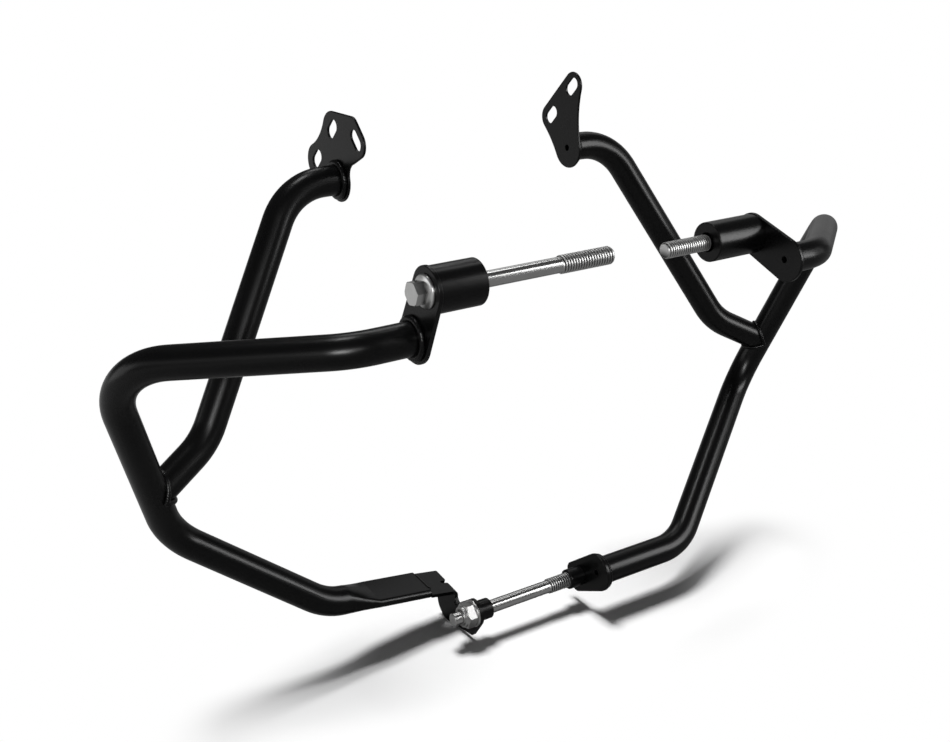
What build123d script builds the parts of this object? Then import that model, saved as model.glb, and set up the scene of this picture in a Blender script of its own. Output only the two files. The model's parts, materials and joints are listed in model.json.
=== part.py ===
from build123d import *
from math import acos, atan2, cos, hypot, pi, sin, tan
import os

# Crash bars for a motorcycle: two bent tubes, each with a brace, joined through the frame by one long stud.
# Millimetres. X runs across the bike, Y towards its rear, Z up.
# The origin is on the lower stud, halfway between the two sides. The right side is at negative X.

# Reach of the bars from the middle of the stud
half_width = 315.7              # outermost bends, outward
knee_in = 46.7                  # knees, inward of those
front_reach = 83.8              # upper end of the right main tube, forward
left_set_back = 1.4             # upper end of the left one, behind that
rear_reach = 104.3              # upper ends of the braces, rearward
top_height = 324.0              # upper ends of the braces, up

# Tube
tube_d = 22.0
tube_wall = 2.0
bend_r = 50.0
tight_bend_r = 42.0
outer_bend_r = 45.0

# Corners of the tubes' centre lines, as (outward, rearward, up)
right_upper_bend = (196.4, -front_reach, 269.4)
left_upper_bend = (194.2, left_set_back - front_reach, 266.8)
outer_bend = (half_width, 16.2, 252.8)
knee_bend = (half_width - knee_in, 58.5, 105.6)
brace_top_bend = (143.5, rear_reach, top_height)
brace_joint_share = 0.752       # how far down the outer run the brace meets it
brace_foot = (-43.6, 14.5, 23.2)     # from there to the brace's elbow
right_last_bend = (164.7, 34.3, 27.6)
left_last_bend = (133.3, -20.2, 11.8)

# Plates
plate_t = 3.0
rear_plate_t = 2.0
plate_edge = 0.4                # broken edge all round
tube_lobe_r = 16.6              # rounded ends of the upper plates, round the tube and round the bolt
bolt_lobe_r = 15.4
lower_tube_lobe_r = 15.3        # the left lower plate's rounded end, and the corners of its end at the stud
lower_corner_r = 7.3
lower_corners = ((4.4, -9.4), (9.9, -0.9))     # their centres, (rearward, up) from the stud
bolt_hole_d = 13.0
vent_d = 5.0
right_upper_face = 152.2        # inner faces of the plates, outward from the middle
left_upper_face = 161.0
right_rear_face = 102.7
left_rear_face = 102.2
left_lower_face = 46.7
right_bolt_offset = (-15.2, 33.7)    # bolt seen from the tube end, (rearward, up)
left_bolt_offset = (34.9, 11.9)

# Rear plates, (rearward, up) from the tube end
rear_lobe_r = 16.2
slot_w = 9.6
slot_travel = 7.0
slot_pitch = 36.5
slot_angle = 135.0              # of the slots that lie in line, from the rear upwards
right_slot = (6.6, 35.4)
right_front_slot = (-28.3, 32.9)
left_slot = (-3.8, 48.9)
right_shoulder_r = 14.8
right_shoulder_drop = 2.0       # the shoulder's centre, below its slot
right_end_r = 13.0
right_corner_r = 8.4
right_corner_in = 8.0           # the top corner's centre, behind the front lobe
right_front_r = 10.0
right_heel_r = 4.8
left_end_r = 10.4
right_lower_waist_r = 55.0
right_upper_waist_r = 40.0
right_front_waist_r = 10.0
left_lower_waist_r = 90.0
left_upper_waist_r = 82.0

# Welds
weld_leg = 3.6
saddle_leg = 3.2                # of the brace's bead, along the main tube
saddle_lift = 2.0               # thin tips trimmed off the brace's saddle cut
weld_crown = 0.62               # height of a bead at its middle, as a share of its leg

# Spacers, bolts and stud
spacer_d = 29.4
spacer_bore = 14.5
spacer_edge = 0.6
right_spacer_l = 32.6
left_spacer_l = 44.7
thread_d = 12.0
thread_gap = 0.1                # left between a thread and the thread around it
shank_d = 10.3
right_bolt_l = 138.0
left_bolt_l = 88.8
bolt_thread_l = 41.2
head_af = 14.5
head_l = 10.0
head_flange_d = 21.5
head_flange_t = 1.6
tip_chamfer = 1.2
stud_tip_d = 10.2
stud_tip_l = 7.5
nut_af = 18.0
nut_l = 7.5
nut_collar_d = 16.5
nut_collar_l = 2.2
washer_d = 21.5
washer_t = 1.6
bush_d = 16.0
bush_bore = 12.6
right_bush_l = 11.5
left_bush_l = 13.5
left_stud_thread_l = 33.5

# Right lower bracket: a folded sheet pressed into the flattened tube end
sheet_t = 3.0
fold_r = 2.5                    # inside the fold
leg_face = 57.0                 # outer face of the hanging leg, outward from the middle
tab_l = 22.0                    # showing between tube end and leg
tab_front = 26.0                # rearward places of the tab's edges
tab_back = 55.5
fold_back = 38.3                # the fold stops here, with a relief slot behind it
relief_w = 3.0
relief_l = 5.6
free_face = 56.5                # end of the tab behind the slot, outward from the middle
free_corner_r = 1.2
tongue_w = 18.0
tongue_l = 22.0
tongue_gap = 0.1
leg_back = 51.9
leg_bottom = -25.5
leg_corner_r = 15.0
eye_r = 10.9
eye_toe = (0.0, -20.8)          # the leg's lower front corner
throat_drop = 6.7               # the hollow between leg and eye, below the stud
eye_toe_r = 2.5
notch_r = 1.8
flat_w = 30.0                   # flattened tube, outside
flat_l = 46.0
neck_straight = 2.0             # round tube left between the last bend and the squeeze
tab_tilt = 8.0                  # degrees; the tab's back edge stands higher than its front
last_run_back = 0.05            # drift of the last run towards the tab's back edge, per millimetre inward
last_run_fall = 0.195           # its fall, per millimetre inward

overrun = 5.0                   # how far a cut runs past what it cuts

tube_r = tube_d / 2
bore_r = tube_r - tube_wall
right = -1
left = 1


def on_side(side, point):
    """A point given as (outward, rearward, up) on one side of the bike."""
    return Vector(side * point[0], point[1], point[2])


def across(x, y, z):
    """A plane square to X whose own axes run rearward and up."""
    return Plane(origin=(x, y, z), x_dir=(0, 1, 0), z_dir=(1, 0, 0))


def outward(side, x, y, z):
    """A plane square to X that faces away from the middle of the bike."""
    return Plane(origin=(x, y, z), x_dir=(0, 1, 0), z_dir=(side, 0, 0))


def run(points, radii, r, bore=0):
    """A round bar of radius r along straight runs joined by bends, or a tube where it has a bore."""
    path = FilletPolyline(*points, radius=radii)
    section = Circle(r) - Circle(bore) if bore else Circle(r)
    return sweep(Plane(origin=path @ 0, z_dir=path % 0) * section, path=path)


def around(centre, r, angle):
    return Vector(centre[0] + r * cos(angle), centre[1] + r * sin(angle))


def lobed_face(lobes):
    """A plate outline round a ring of lobes, each (centre, radius, waist) and taken anticlockwise.

    A waist is the radius of the hollow between a lobe and the next; none makes a straight side.
    """
    leaving, arriving, hollows = [], [], []
    for i, (c1, r1, waist) in enumerate(lobes):
        c2, r2, _ = lobes[(i + 1) % len(lobes)]
        d = hypot(c2[0] - c1[0], c2[1] - c1[1])
        heading = atan2(c2[1] - c1[1], c2[0] - c1[0])
        if waist:
            a, b = r1 + waist, r2 + waist
            leave = heading - acos((a * a + d * d - b * b) / (2 * a * d))
            arrive = heading + pi + acos((b * b + d * d - a * a) / (2 * b * d))
            middle = around(c1, a, leave)
            chord = around(c1, r1, leave) + around(c2, r2, arrive)
            hollows.append(middle + (chord * 0.5 - middle).normalized() * waist)
        else:
            leave = arrive = heading - acos((r1 - r2) / d)
            hollows.append(None)
        leaving.append(leave)
        arriving.append(arrive)
    edges = []
    for i, (c, r, _) in enumerate(lobes):
        start, stop = arriving[i - 1], leaving[i]
        turn = (stop - start) % (2 * pi)
        edges.append(ThreePointArc(around(c, r, start), around(c, r, start + turn / 2), around(c, r, start + turn)))
        c2, r2, _ = lobes[(i + 1) % len(lobes)]
        ends = around(c, r, leaving[i]), around(c2, r2, arriving[i])
        edges.append(ThreePointArc(ends[0], hollows[i], ends[1]) if hollows[i] else Line(*ends))
    return make_face(edges)


def plate(outline, holes, side, face, thickness, y, z):
    """A plate square to X, its inner face so far from the middle, growing outward."""
    blank = extrude(outline, amount=thickness)
    rims = blank.faces().sort_by(Axis.Z)
    blank = chamfer(rims[0].edges() + rims[-1].edges(), plate_edge)
    cut = extrude(holes, amount=thickness * 3, both=True)
    start = face if side == left else -face - thickness
    return across(start, y, z) * (blank - cut)


def link_plate(side, face, tube_at, bolt_offset):
    """A straight-sided plate between a tube end and a bolt, with a vent into the tube."""
    outline = lobed_face([((0, 0), tube_lobe_r, 0), (bolt_offset, bolt_lobe_r, 0)])
    holes = Sketch() + Circle(vent_d / 2) + Pos(*bolt_offset) * Circle(bolt_hole_d / 2)
    return plate(outline, holes, side, face, plate_t, *tube_at)


def slot(centre, angle):
    return Pos(*centre) * Rot(0, 0, angle) * SlotCenterToCenter(slot_travel, slot_w)


def shifted(point, distance, angle):
    """A point moved along an angle in degrees."""
    return (point[0] + distance * cos(angle * pi / 180), point[1] + distance * sin(angle * pi / 180))


def right_rear_plate():
    """The wide rear plate: two slots in line and a third turned across them."""
    lower_slot = shifted(right_slot, -slot_pitch, slot_angle)
    end = shifted(lower_slot, -slot_travel / 2, slot_angle)
    toe = shifted(right_front_slot, -slot_travel / 2, slot_angle - 90)
    heel = (toe[0] + right_front_r, toe[1] - right_front_r - right_heel_r / 4)
    corner = (toe[0] + right_corner_in, toe[1] + right_front_r)
    shoulder = (right_slot[0], right_slot[1] - right_shoulder_drop)
    outline = lobed_face([
        ((0, 0), rear_lobe_r, right_lower_waist_r),
        (end, right_end_r, right_upper_waist_r),
        (shoulder, right_shoulder_r, 0),
        (corner, right_corner_r, 0),
        (toe, right_front_r, 0),
        (heel, right_heel_r, right_front_waist_r)])
    holes = Sketch() + Circle(vent_d / 2) + slot(right_slot, slot_angle) + slot(lower_slot, slot_angle)
    holes += slot(right_front_slot, slot_angle - 90)
    return plate(outline, holes, right, right_rear_face, rear_plate_t, rear_reach, top_height)


def left_rear_plate():
    """The narrow rear plate: two slots in line above the tube end."""
    lower_slot = shifted(left_slot, -slot_pitch, slot_angle)
    outline = lobed_face([
        ((0, 0), rear_lobe_r, left_lower_waist_r),
        (shifted(lower_slot, -slot_travel / 2, slot_angle), left_end_r, 0),
        (shifted(left_slot, slot_travel / 4, slot_angle), left_end_r, left_upper_waist_r)])
    holes = Sketch() + Circle(vent_d / 2) + slot(left_slot, slot_angle) + slot(lower_slot, slot_angle)
    return plate(outline, holes, left, left_rear_face, rear_plate_t, rear_reach, top_height)


def main_points(side):
    """Corners of a main tube from its upper plate down to the knee."""
    bend = right_upper_bend if side == right else left_upper_bend
    face = right_upper_face if side == right else left_upper_face
    start = (face + plate_t, bend[1], bend[2])
    return [on_side(side, p) for p in (start, bend, outer_bend, knee_bend)]


main_radii = [tight_bend_r, outer_bend_r, bend_r, bend_r]
brace_radii = [outer_bend_r, bend_r]


def left_main_tube():
    end = (left_lower_face + plate_t, left_last_bend[1], left_last_bend[2])
    points = main_points(left) + [on_side(left, left_last_bend), on_side(left, end)]
    return run(points, main_radii, tube_r, bore_r)


tab_frame = Plane.XY.rotated((tab_tilt, 0, 0))
last_bend_in_tab = tab_frame.to_local_coords(on_side(right, right_last_bend))
tab_end = -leg_face - tab_l     # where the tube stops, across the bike


def in_tab(x):
    """The right tube's last run at a place across the bike, in the tab's own frame."""
    inward = x - last_bend_in_tab.X
    return last_bend_in_tab + Vector(1, last_run_back, -last_run_fall) * inward


def on_last_run(x):
    return tab_frame.from_local_coords(in_tab(x))


last_run = (on_last_run(0) - on_last_run(-1)).normalized()


def run_plane(at):
    """A plane square to the last run, its first axis along the tab's width."""
    return Plane(origin=at, x_dir=tab_frame.y_dir - last_run * last_run.dot(tab_frame.y_dir), z_dir=last_run)


def oval(at, width, height):
    """A four-edged section of the last run, wide in the plane of the tab."""
    flat = max(width - height, 0)
    lean = pi / 4 if flat == 0 else 0
    r = height / 2
    if lean:
        turns = [(-lean, lean), (lean, pi - lean), (pi - lean, pi + lean), (pi + lean, 2 * pi - lean)]
        edges = [ThreePointArc(*[around((0, 0), r, a + (b - a) * t) for t in (0, 0.5, 1)]) for a, b in turns]
    else:
        ends = [(flat / 2, -pi / 2), (-flat / 2, pi / 2)]
        arcs = [ThreePointArc(*[around((x, 0), r, a + pi * t) for t in (0, 0.5, 1)]) for x, a in ends]
        edges = [arcs[0], Line(arcs[0] @ 1, arcs[1] @ 0), arcs[1], Line(arcs[1] @ 1, arcs[0] @ 0)]
    return run_plane(at) * make_face(edges)


def squeezed(r, width, height, start, past):
    """The last run of the right tube, going from round to flat and so far past the tube's end."""
    flat_start = on_last_run(tab_end - flat_l)
    end = on_last_run(tab_end + past)
    neck = loft([oval(start, r * 2, r * 2), oval(flat_start, width, height)])
    return neck + loft([oval(flat_start, width, height), oval(end, width, height)])


def squeeze_start():
    """Where the last run starts to flatten, just past the end of the last bend."""
    corner = on_side(right, right_last_bend)
    arriving = (corner - on_side(right, knee_bend)).normalized()
    turn = acos(arriving.dot(last_run))
    return corner + last_run * (bend_r * tan(turn / 2) + neck_straight)


def right_main_tube():
    """The right tube, its lower end pressed flat to take the bracket."""
    inner_h = sheet_t + tongue_gap * 2
    start = squeeze_start()
    points = main_points(right) + [on_side(right, right_last_bend), start]
    flat = squeezed(tube_r, flat_w, inner_h + tube_wall * 2, start, 0)
    flat -= squeezed(bore_r, flat_w - tube_wall * 2, inner_h, start, overrun)
    return run(points, main_radii, tube_r, bore_r) + flat


def brace_points(side):
    """Corners of a brace from its rear plate down into the main tube."""
    face = right_rear_face if side == right else left_rear_face
    start = on_side(side, (face + rear_plate_t, rear_reach, top_height))
    upper, lower = on_side(side, outer_bend), on_side(side, knee_bend)
    joint = upper + (lower - upper) * brace_joint_share
    foot = on_side(side, brace_foot)
    return [start, on_side(side, brace_top_bend), joint + foot, joint + foot.normalized() * saddle_lift]


def outer_run(side, r):
    """The straight run of a main tube that its brace meets, as a solid bar."""
    top, bottom = on_side(side, outer_bend), on_side(side, knee_bend)
    return extrude(Plane(origin=top, z_dir=bottom - top) * Circle(r), (bottom - top).length)


def brace_tube(side):
    """A brace, its lower end cut to sit on the main tube."""
    return run(brace_points(side), brace_radii, tube_r, bore_r) - outer_run(side, tube_r)


def brace_weld(side):
    """The bead in the corner all round the brace's lower end."""
    points = brace_points(side)
    foot = points[2] - points[3]
    place = Plane(origin=points[3], z_dir=foot)
    ring = Circle(tube_r + saddle_leg) - Circle(tube_r)
    return (extrude(place * ring, tube_d) & outer_run(side, tube_r + weld_leg)) - outer_run(side, tube_r)


def ring_weld(side, face, y, z):
    """A fillet bead round a tube that stands square on a plate's outer face."""
    crown = weld_leg * weld_crown
    corner, foot, top = (tube_r, 0), (tube_r + weld_leg, 0), (tube_r, weld_leg)
    bulge = ThreePointArc(foot, (tube_r + crown, crown), top)
    section = Plane.XZ * make_face([bulge, Line(top, corner), Line(corner, foot)])
    return outward(side, side * face, y, z) * revolve(section, axis=Axis.Z)


def spacer(side, face, length, y, z):
    body = Cylinder(spacer_d / 2, length, align=(Align.CENTER, Align.CENTER, Align.MAX))
    body = chamfer(body.edges().group_by(Axis.Z)[0], spacer_edge)
    body -= Cylinder(spacer_bore / 2, length * 3)
    return outward(side, side * face, y, z) * body


def hexagon(af, height):
    """A hexagon standing on its base, its free corners turned down."""
    body = extrude(RegularPolygon(af / 2, 6, major_radius=False), height)
    r = af / 2 / cos(pi / 6)
    cap = Cylinder(r, height, align=(Align.CENTER, Align.CENTER, Align.MIN))
    return body & chamfer(cap.edges().group_by(Axis.Z)[-1], (r - af / 2) * 0.6, r - af / 2)


def flange_bolt(length):
    """A flanged hexagon bolt; its bearing face is at zero and the shank hangs below."""
    low = (Align.CENTER, Align.CENTER, Align.MIN)
    high = (Align.CENTER, Align.CENTER, Align.MAX)
    body = Cylinder(head_flange_d / 2, head_flange_t, align=low)
    slope = (head_flange_d - head_af) / 4
    body += Pos(0, 0, head_flange_t) * Cone(head_flange_d / 2, head_af / 2, slope, align=low)
    body += hexagon(head_af, head_l)
    body += Cylinder(shank_d / 2, length, align=high)
    thread = Cylinder(thread_d / 2, bolt_thread_l, align=high)
    thread = chamfer(thread.edges().group_by(Axis.Z)[0], tip_chamfer)
    thread = chamfer(thread.edges().group_by(Axis.Z)[-1], (thread_d - shank_d) / 2 * 0.9)
    return body + Pos(0, 0, bolt_thread_l - length) * thread


def upper_bolt(side, face, length, y, z):
    return outward(side, side * (face + plate_t), y, z) * flange_bolt(length)


def bush(side, face, length, bore):
    """A plain ring on the stud, standing inward from a plate face."""
    body = Cylinder(bush_d / 2, length, align=(Align.CENTER, Align.CENTER, Align.MAX))
    body = chamfer(body.edges().group_by(Axis.Z)[0], spacer_edge)
    return outward(side, side * face, 0, 0) * (body - Cylinder(bore / 2, length * 3))


def left_lower_plate():
    """The plate between the left tube's lower end and the stud, its end at the stud squared."""
    lobes = [(left_last_bend[1:], lower_tube_lobe_r, 0)]
    lobes += [(corner, lower_corner_r, 0) for corner in lower_corners]
    outline = lobed_face(lobes)
    holes = Sketch() + Circle(thread_d / 2 + thread_gap) + Pos(*left_last_bend[1:]) * Circle(vent_d / 2)
    return plate(outline, holes, left, left_lower_face, plate_t, 0, 0)


nut_seat = -leg_face - washer_t
nut_top = nut_seat - nut_l - nut_collar_l


def lower_stud():
    """The long stud: thread at both ends, a slimmer shank, and a plain tip at the nut."""
    end = left_lower_face + plate_t
    right_thread_end = -leg_face + sheet_t + right_bush_l / 2
    low = (Align.CENTER, Align.CENTER, Align.MIN)
    high = (Align.CENTER, Align.CENTER, Align.MAX)
    tip = Cylinder(stud_tip_d / 2, stud_tip_l, align=high)
    tip = chamfer(tip.edges().group_by(Axis.Z)[0], tip_chamfer / 2)
    shank = Cylinder(shank_d / 2, end - nut_top, align=low)
    head = Cylinder(thread_d / 2, right_thread_end - nut_top, align=low)
    tail = Cylinder(thread_d / 2, left_stud_thread_l + plate_t, align=high)
    tail = chamfer(tail.edges().group_by(Axis.Z)[-1], tip_chamfer)
    return across(nut_top, 0, 0) * (tip + shank + head + Pos(0, 0, end - nut_top) * tail)


def lower_nut():
    """A locking nut: a hexagon with a round collar on its outer end."""
    body = hexagon(nut_af, nut_l)
    collar = Cylinder(nut_collar_d / 2, nut_l + nut_collar_l, align=(Align.CENTER, Align.CENTER, Align.MIN))
    body += fillet(collar.edges().group_by(Axis.Z)[-1], nut_collar_l * 0.5)
    body -= Cylinder(thread_d / 2 + thread_gap, nut_l * 6)
    return outward(right, nut_seat, 0, 0) * body


def lower_washer():
    body = Cylinder(washer_d / 2, washer_t, align=(Align.CENTER, Align.CENTER, Align.MIN))
    body = chamfer(body.edges().group_by(Axis.Z)[-1], washer_t / 4)
    body -= Cylinder(bolt_hole_d / 2, washer_t * 3)
    return outward(right, -leg_face, 0, 0) * body


tube_end = run_plane(on_last_run(tab_end))
sheet_mid = -leg_face + sheet_t / 2
fold_z = in_tab(sheet_mid).Z           # where the middles of tab and leg would meet, in the tab's frame
fold_mid_r = fold_r + sheet_t / 2


def band(line, y0, y1):
    """The sheet along a side-view line, between two places across the tab."""
    section = Plane(origin=(0, y1, 0), x_dir=(1, 0, 0), z_dir=(0, -1, 0)) * trace(line, sheet_t)
    return tab_frame * extrude(section, y1 - y0)


def folded_sheet():
    """The tab, with its front part folded down and its back part ending free, and the tongue."""
    inner = in_tab(tab_end - tongue_l)
    free_end = in_tab(-free_face)
    start = (inner.X, inner.Z)
    bent = FilletPolyline(start, (sheet_mid, fold_z), (sheet_mid, fold_z - fold_mid_r * 1.5), radius=fold_mid_r)
    plain = Line(start, (free_end.X, free_end.Z))
    whole = band(bent, tab_front, fold_back) + band(plain, fold_back, tab_back)
    shown = split(whole, bisect_by=tube_end, keep=Keep.TOP)
    relief = SlotCenterToCenter((relief_l - relief_w / 2) * 2, relief_w)
    relief = tab_frame * Pos(free_end.X, fold_back + relief_w / 2, free_end.Z) * extrude(relief, sheet_t, both=True)
    shown -= relief
    through = Axis(tab_frame.origin, tab_frame.z_dir + tab_frame.x_dir * last_run_fall)
    shown = fillet(shown.edges().filter_by(through).sort_by(Axis.X)[-2:], free_corner_r)
    tongue = tube_end * Pos(0, 0, -tongue_l / 2) * Box(tongue_w, sheet_t, tongue_l)
    return shown + tongue


def leg():
    """The hanging leg, reaching forward to an eye round the stud."""
    neck_top = on_last_run(sheet_mid).Z - sheet_t / 2 - relief_w
    toe = ((eye_toe[0] + eye_toe_r, eye_toe[1] + eye_toe_r), eye_toe_r, 0)
    heel = ((leg_back - leg_corner_r, leg_bottom + leg_corner_r), leg_corner_r, 0)
    throat = (tab_front - eye_toe_r, -throat_drop)
    outline = lobed_face([toe, heel, (throat, eye_toe_r, 0)])
    outline += lobed_face([toe, (throat, eye_toe_r, 0), ((0, 0), eye_r, 0)])
    neck = Rectangle(leg_back - tab_front, neck_top - heel[0][1], align=Align.MIN)
    outline += Pos(tab_front, heel[0][1]) * neck
    outline -= Pos(tab_front - notch_r / 2, throat[1] + eye_toe_r) * Circle(notch_r)
    outline -= Circle(bolt_hole_d / 2)
    return across(-leg_face, 0, 0) * extrude(outline, sheet_t)


def right_lower_bracket():
    """The folded bracket: a tongue inside the tube, the tab, the fold and the leg."""
    return folded_sheet() + leg()


def right_lower_weld():
    """Beads across the tube's flattened end, above and below the tab."""
    low, high = sheet_t / 2, sheet_t / 2 + tube_wall
    bulge = tube_wall * weld_crown
    edges = [Line((0, low), (tube_wall, low)), Line((0, high), (0, low))]
    edges.append(ThreePointArc((tube_wall, low), (bulge, low + bulge), (0, high)))
    section = make_face(edges)
    side_view = Plane(origin=tube_end.origin, x_dir=tube_end.z_dir, z_dir=-tube_end.x_dir)
    beads = [extrude(side_view * face, tongue_w / 2, both=True) for face in (section, mirror(section, Plane.XZ))]
    return Compound(children=beads)


parts = {}


def build_side(name, side, face, rear_face, tube_at, bolt_offset, spacer_l, bolt_l):
    """The pieces that both sides have, at their own places."""
    bolt_at = tube_at[0] + bolt_offset[0], tube_at[1] + bolt_offset[1]
    parts[name + "_upper_plate"] = link_plate(side, face, tube_at, bolt_offset)
    parts[name + "_upper_spacer"] = spacer(side, face, spacer_l, *bolt_at)
    parts[name + "_upper_bolt"] = upper_bolt(side, face, bolt_l, *bolt_at)
    parts[name + "_upper_weld"] = ring_weld(side, face + plate_t, *tube_at)
    parts[name + "_rear_weld"] = ring_weld(side, rear_face + rear_plate_t, rear_reach, top_height)
    parts[name + "_brace_tube"] = brace_tube(side)
    parts[name + "_brace_weld"] = brace_weld(side)


def build():
    build_side("right", right, right_upper_face, right_rear_face, right_upper_bend[1:],
               right_bolt_offset, right_spacer_l, right_bolt_l)
    build_side("left", left, left_upper_face, left_rear_face, left_upper_bend[1:],
               left_bolt_offset, left_spacer_l, left_bolt_l)
    parts["right_main_tube"] = right_main_tube()
    parts["left_main_tube"] = left_main_tube()
    parts["right_rear_plate"] = right_rear_plate()
    parts["left_rear_plate"] = left_rear_plate()
    parts["right_lower_bracket"] = right_lower_bracket()
    parts["right_lower_weld"] = right_lower_weld()
    parts["right_lower_bush"] = bush(right, leg_face - sheet_t, right_bush_l, bush_bore)
    parts["left_lower_plate"] = left_lower_plate()
    parts["left_lower_bush"] = bush(left, left_lower_face, left_bush_l, thread_d + thread_gap * 2)
    parts["left_lower_weld"] = ring_weld(left, left_lower_face + plate_t, *left_last_bend[1:])
    parts["lower_stud"] = lower_stud()
    parts["lower_nut"] = lower_nut()
    parts["lower_washer"] = lower_washer()


build()
os.makedirs("parts", exist_ok=True)
for name, body in parts.items():
    export_step(body, f"parts/{name}.step")
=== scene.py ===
"""Looks of a pair of motorcycle crash bars: coated tubes, plates and welds, plated bolts, stud, nut and washer."""

import json
import logging
import math
from contextlib import contextmanager
from dataclasses import dataclass, field
from enum import Enum
from typing import Callable, Iterator, Sequence

import bpy
from mathutils import Matrix, Vector

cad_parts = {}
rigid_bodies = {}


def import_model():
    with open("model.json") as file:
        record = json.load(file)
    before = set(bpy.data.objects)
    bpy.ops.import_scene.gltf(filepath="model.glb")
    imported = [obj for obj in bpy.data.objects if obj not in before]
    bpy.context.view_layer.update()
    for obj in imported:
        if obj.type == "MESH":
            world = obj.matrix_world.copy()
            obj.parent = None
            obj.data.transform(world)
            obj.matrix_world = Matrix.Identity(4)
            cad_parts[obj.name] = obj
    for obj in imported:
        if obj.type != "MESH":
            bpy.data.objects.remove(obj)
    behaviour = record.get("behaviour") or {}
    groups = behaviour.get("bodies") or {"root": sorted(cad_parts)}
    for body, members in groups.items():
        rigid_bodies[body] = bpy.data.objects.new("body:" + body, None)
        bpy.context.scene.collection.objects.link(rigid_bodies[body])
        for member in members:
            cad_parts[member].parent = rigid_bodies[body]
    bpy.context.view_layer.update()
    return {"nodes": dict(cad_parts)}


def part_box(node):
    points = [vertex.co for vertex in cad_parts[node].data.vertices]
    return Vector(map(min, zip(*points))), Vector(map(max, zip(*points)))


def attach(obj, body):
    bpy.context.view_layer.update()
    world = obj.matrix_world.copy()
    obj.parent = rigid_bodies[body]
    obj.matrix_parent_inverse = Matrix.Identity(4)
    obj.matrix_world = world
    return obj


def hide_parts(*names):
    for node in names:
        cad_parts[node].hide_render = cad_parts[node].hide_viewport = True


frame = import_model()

log = logging.getLogger("crash_bars")

Colour = tuple[float, float, float, float]
Profile = Sequence[tuple[float, float]]

MM = 0.001
WHITE: Colour = (1.0, 1.0, 1.0, 1.0)
BLACK: Colour = (0.0, 0.0, 0.0, 1.0)
HEXAGON_SIDES = 6

# Numbers that points carry for the plate's finish (hollow: depth into a thread root, painted as shade there and made
# rougher; satin: extra roughness), and the ending of the plated pieces' names.
HOLLOW = "hollow"
SATIN = "satin"
PLATED = "_plated"

# Distances in metres and angles in degrees that the tools take as nothing.
CAD_MERGE = 2e-6
MERGE = 1e-6
CUT_SLACK = 1e-7
FLAT_ANGLE = 0.2

# Angles in degrees above which an edge is shaded as a crease.
PLATED_CREASE = 32.0
NO_CREASE = 180.0


class Side(Enum):
    """The two sides of the bike, by the sign of X."""

    RIGHT = -1
    LEFT = 1

    @property
    def word(self) -> str:
        """The side's name, as the nodes begin with it."""
        return self.name.lower()

    def point(self, outward: float, rearward: float, up: float) -> Vector:
        """A point given in millimetres from the middle of the stud, in metres."""
        return Vector((self.value * outward, rearward, up)) * MM


class Slot(Enum):
    """The record's two finishes."""

    BLACK_COAT = "black_coat"
    ZINC_STEEL = "zinc_steel"


class Wire:
    """A shader socket that takes part in Python arithmetic."""

    def __init__(self, bench: "NodeBench", socket: bpy.types.NodeSocket) -> None:
        """Keeps the socket and the bench that new nodes go on."""
        self.bench = bench
        self.socket = socket

    def _math(self, operation: str, first: "Wire | float", second: "Wire | float") -> "Wire":
        """Adds one Math node.

        Args:
            operation: Blender's name of the operation.
            first: the first value.
            second: the second value.

        Returns:
            The node's result.
        """
        return self.bench.add("ShaderNodeMath", {"operation": operation}, {0: first, 1: second})

    def __add__(self, other: "Wire | float") -> "Wire":
        """The sum."""
        return self._math("ADD", self, other)

    def __radd__(self, other: float) -> "Wire":
        """The sum, number first."""
        return self._math("ADD", other, self)

    def __sub__(self, other: "Wire | float") -> "Wire":
        """The difference."""
        return self._math("SUBTRACT", self, other)

    def __rsub__(self, other: float) -> "Wire":
        """The difference, number first."""
        return self._math("SUBTRACT", other, self)

    def __mul__(self, other: "Wire | float") -> "Wire":
        """The product."""
        return self._math("MULTIPLY", self, other)

    def __rmul__(self, other: float) -> "Wire":
        """The product, number first."""
        return self._math("MULTIPLY", other, self)

    def at_least(self, other: "Wire | float") -> "Wire":
        """The larger of the two."""
        return self._math("MAXIMUM", self, other)


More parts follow.
